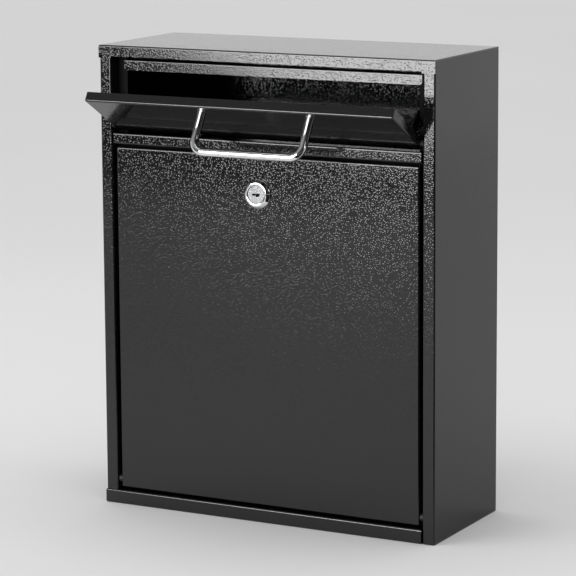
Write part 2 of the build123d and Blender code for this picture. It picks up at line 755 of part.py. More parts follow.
cam_screw_frame = lock_frame.offset(cam_rear - washer_thickness)
keep_piece(cross_head_screws(cam_screw_frame, cam_screw, cam_screw_grip, [(0, 0)]), "cam_screw")

print("flap pins", flap_pin_y, flap_pin_z, "door pins", door_pin_y, door_pin_z)
print("lock axis", lock_x, lock_z, "flap half width", flap_half, "door half width", door_half)
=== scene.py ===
"""Dresses the locking wall mailbox: finishes for every piece, lock details, studio and camera."""

import logging
import math
from collections.abc import Iterable, Sequence
from dataclasses import dataclass, field, replace
from enum import Enum
from typing import Any

import bmesh
import bpy
from mathutils import Matrix, Vector

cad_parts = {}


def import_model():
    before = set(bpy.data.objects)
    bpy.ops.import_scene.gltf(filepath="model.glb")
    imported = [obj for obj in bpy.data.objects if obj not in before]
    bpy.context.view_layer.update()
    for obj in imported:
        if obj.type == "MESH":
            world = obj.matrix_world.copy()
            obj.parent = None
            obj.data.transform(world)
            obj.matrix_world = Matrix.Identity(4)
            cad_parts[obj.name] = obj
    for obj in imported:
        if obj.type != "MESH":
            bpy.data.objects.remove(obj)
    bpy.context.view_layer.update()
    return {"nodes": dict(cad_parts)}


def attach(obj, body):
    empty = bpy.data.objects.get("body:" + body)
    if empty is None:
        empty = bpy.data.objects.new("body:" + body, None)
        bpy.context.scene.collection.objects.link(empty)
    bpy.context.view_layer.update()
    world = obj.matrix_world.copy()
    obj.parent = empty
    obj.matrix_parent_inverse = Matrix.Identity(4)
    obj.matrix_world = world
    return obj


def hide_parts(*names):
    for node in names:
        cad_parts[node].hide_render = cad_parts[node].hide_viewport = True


LOG = logging.getLogger("mailbox")
MM = 0.001
SKIN_CREASE = 32.0
GROWN_CREASE = 40.0


class Slot(Enum):
    """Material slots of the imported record."""

    BLACK = "black_powder_coat"
    CHROME = "chrome"
    ZINC = "zinc_plated_steel"
    BRASS = "brass"
    RUBBER = "rubber"
    NYLON = "nylon"


class Body(Enum):
    """Moving bodies of the mailbox."""

    CASING = "casing"
    FLAP = "flap"
    DOOR = "door"
    LOCK_CORE = "lock_core"


def linear(hex_colour: str) -> tuple[float, float, float, float]:
    """Turns an sRGB hex colour into linear red, green, blue and alpha.

    Args:
        hex_colour: Colour such as "#1a1a1a".

    Returns:
        Linear colour with an alpha of 1.
    """
    channels = [int(hex_colour[place:place + 2], 16) / 255 for place in (1, 3, 5)]
    straight = [c / 12.92 if c <= 0.04045 else ((c + 0.055) / 1.055) ** 2.4 for c in channels]
    return straight[0], straight[1], straight[2], 1.0


def per_mm(size: float) -> float:
    """Texture scale whose features are about this many millimetres apart."""
    return 1.0 / (size * MM)


def add_node(
    tree: bpy.types.NodeTree,
    kind: str,
    settings: dict[str, Any] | None = None,
    links: dict[str | int, Any] | None = None,
) -> bpy.types.Node:
    """Adds one node to a tree, sets it up and links what feeds it.

    Args:
        tree: Shader or geometry node tree.
        kind: Type name of the node.
        settings: Attributes of the node, or values of its inputs where the name is an input's.
        links: Input name or index, and the output socket that feeds it.

    Returns:
        The new node.
    """
    node = tree.nodes.new(kind)
    for name, value in (settings or {}).items():
        if isinstance(name, str) and hasattr(node, name):
            setattr(node, name, value)
        else:
            node.inputs[name].default_value = value
    for name, source in (links or {}).items():
        tree.links.new(source, node.inputs[name])
    return node


def new_material(name: str) -> tuple[bpy.types.Material, bpy.types.NodeTree]:
    """Makes an empty node material.

    Args:
        name: What the finish is.

    Returns:
        The material and its cleared node tree.
    """
    material = bpy.data.materials.new(name)
    material.use_nodes = True
    material.node_tree.nodes.clear()
    return material, material.node_tree


def blend_colours(tree: bpy.types.NodeTree, factor: Any, low: str, high: str) -> Any:
    """Colour that runs from one hex colour to another with a factor.

    Args:
        tree: Tree of the material.
        factor: Socket that gives 0 to 1.
        low: Hex colour at 0.
        high: Hex colour at 1.

    Returns:
        Colour socket.
    """
    ramp = add_node(tree, "ShaderNodeValToRGB", links={"Fac": factor})
    ramp.color_ramp.elements[0].color = linear(low)
    ramp.color_ramp.elements[1].color = linear(high)
    return ramp.outputs["Color"]


def spread(tree: bpy.types.NodeTree, value: Any, low: float, high: float) -> Any:
    """Maps the middle of a noise onto a range.

    Args:
        tree: Tree of the material.
        value: Socket with values mostly between 0.3 and 0.7.
        low: Result at 0.3.
        high: Result at 0.7.

    Returns:
        Value socket.
    """
    settings = {"From Min": 0.3, "From Max": 0.7, "To Min": low, "To Max": high}
    mapped = add_node(tree, "ShaderNodeMapRange", settings, {"Value": value})
    return mapped.outputs["Result"]


@dataclass(frozen=True)
class PowderCoat:
    """Baked hammertone powder coat on folded steel, black and semi-gloss.

    The coat pulls into small steep dimples in a nearly flat skin as it melts, so it glitters at the
    edge of a highlight and goes grey where light grazes it. Its colour is painted darker in the
    dimples as painted shade, and varies at random in patches. Inside the box the coat is painted
    darker still, with less sheen and more roughness: painted shade, so the inside stays dark.
    """

    name: str = "hammertone powder coat"
    pit_shade_colour: str = "#020202"
    crest_colour: str = "#1d1d1e"
    dimple_pitch_mm: float = 1.5
    dimple_reach: float = 0.5
    dimple_depth_mm: float = 0.058
    wave_pitch_mm: float = 1.1
    wave_share: float = 0.3
    bloom_pitch_mm: float = 45.0
    bloom_share: float = 0.3
    tone_low: float = -0.15
    tone_high: float = 0.5
    ior: float = 1.57
    sheen: float = 0.5
    inside_sheen_loss: float = 0.4
    gloss_low: float = 0.07
    gloss_high: float = 0.12
    inside_roughness: float = 0.6
    inner_front_mm: float = -47.5
    inner_back_mm: float = 58.0
    inner_half_mm: float = 149.0
    inner_top_mm: float = 378.5

    def inside(self, tree: bpy.types.NodeTree, place: Any) -> Any:
        """Mask of the faces that look into the box, where the coat is painted darker as painted shade.

        Args:
            tree: Tree of the material.
            place: Socket with object coordinates.

        Returns:
            Socket that gives 1 inside the box and 0 outside it.
        """
        split = add_node(tree, "ShaderNodeSeparateXYZ", links={0: place}).outputs
        sideways = add_node(
            tree, "ShaderNodeMath", {"operation": "ABSOLUTE"}, {0: split["X"]}
        ).outputs["Value"]
        mask = add_node(
            tree,
            "ShaderNodeMath",
            {"operation": "GREATER_THAN", 1: self.inner_front_mm * MM},
            {0: split["Y"]},
        ).outputs["Value"]
        for reach, limit in (
            (split["Y"], self.inner_back_mm),
            (sideways, self.inner_half_mm),
            (split["Z"], self.inner_top_mm),
        ):
            within = add_node(
                tree, "ShaderNodeMath", {"operation": "LESS_THAN", 1: limit * MM}, {0: reach}
            ).outputs["Value"]
            mask = add_node(
                tree, "ShaderNodeMath", {"operation": "MULTIPLY"}, {0: mask, 1: within}
            ).outputs["Value"]
        return mask

    def material(self) -> bpy.types.Material:
        """Builds the node material.

        Returns:
            The finished material.
        """
        material, tree = new_material(self.name)
        place = add_node(tree, "ShaderNodeTexCoord").outputs["Object"]
        nearest = add_node(
            tree, "ShaderNodeTexVoronoi", {"Scale": per_mm(self.dimple_pitch_mm)}, {"Vector": place}
        ).outputs["Distance"]
        dimples = add_node(
            tree,
            "ShaderNodeMapRange",
            {"interpolation_type": "SMOOTHSTEP", "From Max": self.dimple_reach},
            {"Value": nearest},
        ).outputs["Result"]
        waves = add_node(
            tree,
            "ShaderNodeTexNoise",
            {"Scale": per_mm(self.wave_pitch_mm), "Detail": 0.0},
            {"Vector": place},
        ).outputs["Fac"]
        bloom = add_node(
            tree,
            "ShaderNodeTexNoise",
            {"Scale": per_mm(self.bloom_pitch_mm), "Detail": 3.0},
            {"Vector": place},
        ).outputs["Fac"]
        height = add_node(
            tree, "ShaderNodeMath", {"operation": "MULTIPLY_ADD", 1: self.wave_share}, {0: waves, 2: dimples}
        ).outputs["Value"]
        relief = add_node(
            tree,
            "ShaderNodeBump",
            {"Strength": 1.0, "Distance": self.dimple_depth_mm * MM},
            {"Height": height},
        ).outputs["Normal"]
        patchy = add_node(
            tree, "ShaderNodeMath", {"operation": "MULTIPLY_ADD", 1: self.bloom_share}, {0: bloom, 2: waves}
        ).outputs["Value"]
        # Tone: painted darker in the dimples as painted shade, and patchy at random with the bloom and waves.
        tone = add_node(
            tree,
            "ShaderNodeMath",
            {"operation": "MULTIPLY"},
            {0: dimples, 1: spread(tree, patchy, self.tone_low, self.tone_high)},
        ).outputs["Value"]
        # Inside the box the coat is painted darker, with less sheen and more roughness: painted shade.
        mask = self.inside(tree, place)
        shaded_tone = add_node(
            tree, "ShaderNodeMath", {"operation": "SUBTRACT"}, {0: tone, 1: mask}
        ).outputs["Value"]
        roughness = add_node(
            tree,
            "ShaderNodeMath",
            {"operation": "MULTIPLY_ADD", 1: self.inside_roughness},
            {0: mask, 2: spread(tree, waves, self.gloss_high, self.gloss_low)},
        ).outputs["Value"]
        sheen = add_node(
            tree,
            "ShaderNodeMath",
            {"operation": "MULTIPLY_ADD", 1: -self.inside_sheen_loss, 2: self.sheen},
            {0: mask},
        ).outputs["Value"]
        shader = add_node(
            tree,
            "ShaderNodeBsdfPrincipled",
            {"IOR": self.ior},
            {
                "Base Color": blend_colours(tree, shaded_tone, self.pit_shade_colour, self.crest_colour),
                "Roughness": roughness,
                "Specular IOR Level": sheen,
                "Normal": relief,
            },
        )
        add_node(tree, "ShaderNodeOutputMaterial", links={"Surface": shader.outputs["BSDF"]})
        return material


@dataclass(frozen=True)
class PlatedMetal:
    """Metal whose colour clouds a little and whose surface keeps fine marks of how it was made."""

    name: str
    low_colour: str
    high_colour: str
    cloud_pitch_mm: float
    mark_pitch_mm: float
    mark_depth_mm: float
    rough_low: float
    rough_high: float
    mark_stretch: tuple[float, float, float] = (1.0, 1.0, 1.0)
    recess_from_mm: float | None = None
    recess_shade_colour: str = "#1c1a18"
    recess_roughness: float = 0.45

    def material(self) -> bpy.types.Material:
        """Builds the node material.

        Returns:
            The finished material.
        """
        material, tree = new_material(self.name)
        place = add_node(tree, "ShaderNodeTexCoord").outputs["Object"]
        stretched = add_node(
            tree, "ShaderNodeMapping", {"Scale": self.mark_stretch}, {"Vector": place}
        ).outputs["Vector"]
        clouds = add_node(
            tree,
            "ShaderNodeTexNoise",
            {"Scale": per_mm(self.cloud_pitch_mm), "Detail": 3.0},
            {"Vector": place},
        ).outputs["Fac"]
        marks = add_node(
            tree,
            "ShaderNodeTexNoise",
            {"Scale": per_mm(self.mark_pitch_mm), "Detail": 4.0, "Roughness": 0.65},
            {"Vector": stretched},
        ).outputs["Fac"]
        relief = add_node(
            tree,
            "ShaderNodeBump",
            {"Strength": 1.0, "Distance": self.mark_depth_mm * MM},
            {"Height": marks},
        ).outputs["Normal"]
        colour = blend_colours(tree, spread(tree, clouds, 0.0, 1.0), self.low_colour, self.high_colour)
        roughness = spread(tree, marks, self.rough_low, self.rough_high)
        # Deeper than the given depth, the colour is painted near black as painted shade, and rougher.
        if self.recess_from_mm is not None:
            depth = add_node(tree, "ShaderNodeSeparateXYZ", links={0: place}).outputs["Y"]
            recessed = add_node(
                tree, "ShaderNodeMath", {"operation": "GREATER_THAN", 1: self.recess_from_mm * MM}, {0: depth}
            ).outputs["Value"]
            colour = add_node(
                tree,
                "ShaderNodeMix",
                {"data_type": "RGBA", 7: linear(self.recess_shade_colour)},
                {0: recessed, 6: colour},
            ).outputs[2]
            roughness = add_node(
                tree,
                "ShaderNodeMath",
                {"operation": "MULTIPLY_ADD", 1: self.recess_roughness},
                {0: recessed, 2: roughness},
            ).outputs["Value"]
        shader = add_node(
            tree,
            "ShaderNodeBsdfPrincipled",
            {"Metallic": 1.0},
            {"Base Color": colour, "Roughness": roughness, "Normal": relief},
        )
        add_node(tree, "ShaderNodeOutputMaterial", links={"Surface": shader.outputs["BSDF"]})
        return material


@dataclass(frozen=True)
class MouldedPolymer:
    """Moulded rubber or plastic with the fine spark grain of its mould."""

    name: str
    low_colour: str
    high_colour: str
    grain_pitch_mm: float
    grain_depth_mm: float
    rough_low: float
    rough_high: float
    ior: float
    cloud_pitch_mm: float = 3.0

    def material(self) -> bpy.types.Material:
        """Builds the node material.

        Returns:
            The finished material.
        """
        material, tree = new_material(self.name)
        place = add_node(tree, "ShaderNodeTexCoord").outputs["Object"]
        clouds, grain = (
            add_node(
                tree, "ShaderNodeTexNoise", {"Scale": per_mm(pitch), "Detail": 2.0}, {"Vector": place}
            ).outputs["Fac"]
            for pitch in (self.cloud_pitch_mm, self.grain_pitch_mm)
        )
        relief = add_node(
            tree,
            "ShaderNodeBump",
            {"Strength": 1.0, "Distance": self.grain_depth_mm * MM},
            {"Height": grain},
        ).outputs["Normal"]
        shader = add_node(
            tree,
            "ShaderNodeBsdfPrincipled",
            {"IOR": self.ior},
            {
                "Base Color": blend_colours(
                    tree, spread(tree, clouds, 0.0, 1.0), self.low_colour, self.high_colour
                ),
                "Roughness": spread(tree, grain, self.rough_low, self.rough_high),
                "Normal": relief,
            },
        )
        add_node(tree, "ShaderNodeOutputMaterial", links={"Surface": shader.outputs["BSDF"]})
        return material


# Bright decorative chrome over polished nickel: near white, very smooth, with faint polishing lines.
CHROME = PlatedMetal(
    name="polished chrome plate",
    low_colour="#e2e3e5",
    high_colour="#f2f2f3",
    cloud_pitch_mm=14.0,
    mark_pitch_mm=0.8,
    mark_depth_mm=0.004,
    rough_low=0.06,
    rough_high=0.13,
    mark_stretch=(0.15, 1.0, 1.0),
)
# Chrome on the lock's plug: not buffed, so a little milky. Plating doesn't reach into the narrow keyway,
# so its walls are rough; their near-black colour is painted shade.
PLUG_CHROME = replace(
    CHROME, name="chrome plate, unbuffed", rough_low=0.125, rough_high=0.145, recess_from_mm=-60.8
)
# Zinc plate with clear passivation: cool grey with a faint straw cast, satin.
ZINC = PlatedMetal(
    name="zinc plate, clear passivated",
    low_colour="#a3a8ad",
    high_colour="#c4c4bd",
    cloud_pitch_mm=4.0,
    mark_pitch_mm=0.5,
    mark_depth_mm=0.010,
    rough_low=0.28,
    rough_high=0.42,
)
# Brass stamped from strip: warm, its colour painted dark as painted shade, since it is seen only deep in the
# keyway.
BRASS = PlatedMetal(
    name="stamped brass",
    low_colour="#3d3119",
    high_colour="#5f4b25",
    cloud_pitch_mm=3.0,
    mark_pitch_mm=0.4,
    mark_depth_mm=0.006,
    rough_low=0.22,
    rough_high=0.36,
)
# Moulded rubber: near black and dull, with the mould's fine grain.
RUBBER = MouldedPolymer(
    name="moulded rubber",
    low_colour="#0e0e0e",
    high_colour="#1c1c1b",
    grain_pitch_mm=0.5,
    grain_depth_mm=0.03,
    rough_low=0.70,
    rough_high=0.85,
    ior=1.52,
)
# Injection moulded nylon, dyed black, with the dull bloom of a grained mould.
NYLON = MouldedPolymer(
    name="moulded nylon",
    low_colour="#060606",
    high_colour="#0d0d0d",
    grain_pitch_mm=0.7,
    grain_depth_mm=0.015,
    rough_low=0.55,
    rough_high=0.70,
    ior=1.53,
)


@dataclass(frozen=True)
class Painter:
    """Holds one material for each slot of the record."""

    materials: dict[Slot, bpy.types.Material]

    @classmethod
    def mix(cls) -> "Painter":
        """Makes the material of every slot.

        Returns:
            A painter that has them all.
        """
        finishes = {
            Slot.BLACK: PowderCoat(),
            Slot.CHROME: CHROME,
            Slot.ZINC: ZINC,
            Slot.BRASS: BRASS,
            Slot.RUBBER: RUBBER,
            Slot.NYLON: NYLON,
        }
        return cls({slot: finish.material() for slot, finish in finishes.items()})

    def dress(self, piece: bpy.types.Object, slot: Slot) -> None:
        """Gives a piece the one material of a slot.

        Args:
            piece: Mesh object, a CAD node's among them.
            slot: Slot whose finish it takes.
        """
        piece.data.materials.clear()
        piece.data.materials.append(self.materials[slot])


def add_piece(name: str, mesh: bpy.types.Mesh) -> bpy.types.Object:
    """Puts a mesh into the scene as an object at the origin.

    Args:
        name: Name of the piece.
        mesh: Its mesh, in the shared frame.

    Returns:
        The new object.
    """
    piece = bpy.data.objects.new(name, mesh)
    bpy.context.scene.collection.objects.link(piece)
    return piece


def closed_tube(name: str, rings: Sequence[Sequence[Vector]]) -> bpy.types.Object:
    """Joins rings of points into one closed skin, the last ring to the first.

    Args:
        name: Name of the piece.
        rings: Rings with equally many points, in metres.

    Returns:
        The piece, its normals outward and its creases sharp.
    """
    shape = bmesh.new()
    rows = [[shape.verts.new(point) for point in ring] for ring in rings]
    for row, onward in zip(rows, rows[1:] + rows[:1]):
        for place in range(len(row)):
            after = (place + 1) % len(row)
            shape.faces.new((row[place], row[after], onward[after], onward[place]))
    bmesh.ops.recalc_face_normals(shape, faces=shape.faces)
    mesh = bpy.data.meshes.new(name)
    shape.to_mesh(mesh)
    shape.free()
    mesh.shade_smooth()
    mesh.set_sharp_from_angle(angle=math.radians(SKIN_CREASE))
    return add_piece(name, mesh)


def new_growth(name: str, inputs: dict[str, str]) -> tuple[bpy.types.NodeTree, bpy.types.Node]:
    """Starts a Geometry Nodes tree with named inputs.

    Args:
        name: What the tree makes.
        inputs: Socket type of each input by name.

    Returns:
        The tree and its input node.
    """
    tree = bpy.data.node_groups.new(name, "GeometryNodeTree")
    tree.interface.new_socket("Seats", in_out="INPUT", socket_type="NodeSocketGeometry")
    for title, kind in inputs.items():
        tree.interface.new_socket(title, in_out="INPUT", socket_type=kind)
    tree.interface.new_socket("Finish", in_out="INPUT", socket_type="NodeSocketMaterial")
    tree.interface.new_socket("Pieces", in_out="OUTPUT", socket_type="NodeSocketGeometry")
    return tree, tree.nodes.new("NodeGroupInput")


def end_growth(tree: bpy.types.NodeTree, given: bpy.types.Node, instance: Any, turn: Sequence[float]) -> None:
    """Seats copies of a shape on the tree's points and ends the tree.

    Args:
        tree: Tree from new_growth.
        given: Its input node.
        instance: Geometry socket of one shape.
        turn: Euler angles of every copy, in radians.
    """
    seated = add_node(
        tree,
        "GeometryNodeInstanceOnPoints",
        {"Rotation": turn},
        {"Points": given.outputs["Seats"], "Instance": instance},
    )
    real = add_node(tree, "GeometryNodeRealizeInstances", links={"Geometry": seated.outputs["Instances"]})
    coated = add_node(
        tree,
        "GeometryNodeSetMaterial",
        links={"Geometry": real.outputs["Geometry"], "Material": given.outputs["Finish"]},
    )
    add_node(tree, "NodeGroupOutput", links={"Pieces": coated.outputs["Geometry"]})


def grow(
    name: str,
    tree: bpy.types.NodeTree,
    seats: Sequence[Vector],
    values: dict[str, Any],
) -> bpy.types.Object:
    """Runs a Geometry Nodes tree on seat points and keeps its result as a plain mesh.

    Args:
        name: Name of the piece.
        tree: Tree whose first input is the seats.
        seats: Where the copies sit, in metres.
        values: Value of each named input.

    Returns:
        The piece, without its modifier.
    """
    points = bpy.data.meshes.new(f"{name} seats")
    points.from_pydata(seats, [], [])
    piece = add_piece(name, points)
    modifier = piece.modifiers.new(name, "NODES")
    modifier.node_group = tree
    for socket in tree.interface.items_tree:
        if socket.in_out == "INPUT" and socket.name in values:
            modifier[socket.identifier] = values[socket.name]
    graph = bpy.context.evaluated_depsgraph_get()
    mesh = bpy.data.meshes.new_from_object(piece.evaluated_get(graph), depsgraph=graph)
    piece.modifiers.remove(modifier)
    piece.data = mesh
    mesh.name = name
    mesh.shade_smooth()
    mesh.set_sharp_from_angle(angle=math.radians(GROWN_CREASE))
    bpy.data.meshes.remove(points)
    return piece


@dataclass
class SubAssembly:
    """Group of CAD nodes that are made together, each with its slot."""

    body: Body
    finishes: dict[str, Slot] = field(default_factory=dict)

    def dress(self, nodes: dict[str, bpy.types.Object], painter: Painter) -> None:
        """Gives each CAD node its finish.

        Args:
            nodes: CAD nodes by name.
            painter: Holder of the materials.
        """
        for name, slot in self.finishes.items():
            painter.dress(nodes[name], slot)
            LOG.info("%s: %s in %s", self.body.value, name, slot.value)

    def stand_in(self, piece: bpy.types.Object, node: str, painter: Painter) -> None:
        """Lets a detailed piece replace a CAD node of the group.

        Args:
            piece: New piece.
            node: Node that it replaces, whose slot it takes.
            painter: Holder of the materials.
        """
        slot = self.finishes[node]
        painter.dress(piece, slot)
        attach(piece, self.body.value)
        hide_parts(node)
        LOG.info("%s: %s replaces %s", self.body.value, piece.name, node)


@dataclass
class Casing(SubAssembly):
    """Folded sheet casing with its rails, buffers and pivots."""

    body: Body = Body.CASING
    sheets: tuple[str, ...] = (
        "top_panel",
        "bottom_panel",
        "left_side_panel",
        "right_side_panel",
        "back_panel",
        "header_rail",
        "crossbar",
    )

    def __post_init__(self) -> None:
        """Lists the finish of each casing node."""
        self.finishes = {name: Slot.BLACK for name in self.sheets}
        self.finishes["flap_bumpers"] = Slot.RUBBER
        for hand in ("left", "right"):
            for panel in ("flap", "door"):
                self.finishes[f"{panel}_pivot_pin_{hand}"] = Slot.ZINC
                self.finishes[f"{panel}_spacer_{hand}"] = Slot.NYLON


@dataclass
class SlotFlap(SubAssembly):
    """Mail slot flap with its pull handle and stop arms. Sizes in millimetres."""

    body: Body = Body.FLAP
    hinge: tuple[float, float] = (-55.9, 315.5)
    open_angle: float = 60.0
    inner_face: float = 2.6
    handle_height: float = 28.8
    handle_legs: tuple[float, float] = (-43.0, 53.0)
    washer_hole: float = 2.3
    washer_ring: float = 1.3
    washer_reach: float = 4.9
    washer_height: float = 0.5
    washer_teeth: int = 10
    tooth_width: float = 1.3
    tooth_twist: float = 14.0
    washer_space: float = 0.8

    def __post_init__(self) -> None:
        """Lists the finish of each flap node."""
        self.finishes = {
            "slot_flap": Slot.BLACK,
            "flap_stop_arm_left": Slot.BLACK,
            "flap_stop_arm_right": Slot.BLACK,
            "flap_handle": Slot.CHROME,
            "handle_washers": Slot.ZINC,
            "handle_screws": Slot.ZINC,
        }

    def washer_tree(self) -> bpy.types.NodeTree:
        """Builds the node tree of a toothed lock washer: a flat ring with twisted teeth round it.

        Returns:
            The tree.
        """
        sizes = (
            "Ring Radius",
            "Ring Width",
            "Height",
            "Tooth Circle",
            "Tooth Length",
            "Tooth Width",
            "Twist",
        )
        inputs = {size: "NodeSocketFloat" for size in sizes}
        inputs["Teeth"] = "NodeSocketInt"
        tree, given = new_growth("toothed lock washers", inputs)
        size = given.outputs
        rail = add_node(
            tree, "GeometryNodeCurvePrimitiveCircle", {"Resolution": 48}, {"Radius": size["Ring Radius"]}
        )
        section = add_node(
            tree,
            "GeometryNodeCurvePrimitiveQuadrilateral",
            links={"Width": size["Ring Width"], "Height": size["Height"]},
        )
        ring = add_node(
            tree,
            "GeometryNodeCurveToMesh",
            links={"Curve": rail.outputs["Curve"], "Profile Curve": section.outputs["Curve"]},
        )
        circle = add_node(
            tree,
            "GeometryNodeMeshCircle",
            links={"Vertices": size["Teeth"], "Radius": size["Tooth Circle"]},
        )
        block_size = add_node(
            tree,
            "ShaderNodeCombineXYZ",
            links={"X": size["Tooth Length"], "Y": size["Tooth Width"], "Z": size["Height"]},
        )
        block = add_node(tree, "GeometryNodeMeshCube", links={"Size": block_size.outputs["Vector"]})
        step = add_node(
            tree, "ShaderNodeMath", {"operation": "DIVIDE", 0: 2 * math.pi}, {1: size["Teeth"]}
        )
        heading = add_node(
            tree,
            "ShaderNodeMath",
            {"operation": "MULTIPLY"},
            {0: tree.nodes.new("GeometryNodeInputIndex").outputs["Index"], 1: step.outputs["Value"]},
        )
        turn = add_node(
            tree, "ShaderNodeCombineXYZ", links={"X": size["Twist"], "Z": heading.outputs["Value"]}
        )
        teeth = add_node(
            tree,
            "GeometryNodeInstanceOnPoints",
            links={
                "Points": circle.outputs["Mesh"],
                "Instance": block.outputs["Mesh"],
                "Rotation": turn.outputs["Vector"],
            },
        )
        whole = tree.nodes.new("GeometryNodeJoinGeometry")
        tree.links.new(ring.outputs["Mesh"], whole.inputs["Geometry"])
        tree.links.new(teeth.outputs["Instances"], whole.inputs["Geometry"])
        tilt = math.radians(90.0 + self.open_angle)
        end_growth(tree, given, whole.outputs["Geometry"], (tilt, 0.0, 0.0))
        return tree

    def build(self, painter: Painter) -> None:
        """Seats a toothed washer under each handle screw.

        Args:
            painter: Holder of the materials.
        """
        open_angle = math.radians(self.open_angle)
        upward = Vector((0.0, -math.sin(open_angle), math.cos(open_angle)))
        outward = Vector((0.0, -math.cos(open_angle), -math.sin(open_angle)))
        level = self.inner_face - self.washer_space / 2
        foot = Vector((0.0, *self.hinge)) + upward * self.handle_height + outward * level
        seats = [(Vector((leg, 0.0, 0.0)) + foot) * MM for leg in self.handle_legs]
        ring_outer = self.washer_hole + self.washer_ring
        values = {
            "Ring Radius": (self.washer_hole + self.washer_ring / 2) * MM,
            "Ring Width": self.washer_ring * MM,
            "Height": self.washer_height * MM,
            "Tooth Circle": (ring_outer + self.washer_reach) / 2 * MM,
            "Tooth Length": (self.washer_reach - ring_outer + self.washer_height) * MM,
            "Tooth Width": self.tooth_width * MM,
            "Twist": math.radians(self.tooth_twist),
            "Teeth": self.washer_teeth,
            "Finish": painter.materials[Slot.ZINC],
        }
        piece = grow("toothed_lock_washers", self.washer_tree(), seats, values)
        self.stand_in(piece, "handle_washers", painter)


@dataclass(frozen=True)
class LockAxis:
    """Axis of the cam lock, from the door's face outwards, in millimetres."""

    x: float = -5.5
    face: float = -58.0
    z: float = 267.0

    def place(self, across: float, upward: float, level: float) -> Vector:
        """Turns a point about the axis into the shared frame.

        Args:
            across: To the right of the axis.
            upward: Above the axis.
            level: In front of the door's face.

        Returns:
            The point in metres.
        """
        return Vector((self.x + across, self.face - level, self.z + upward)) * MM


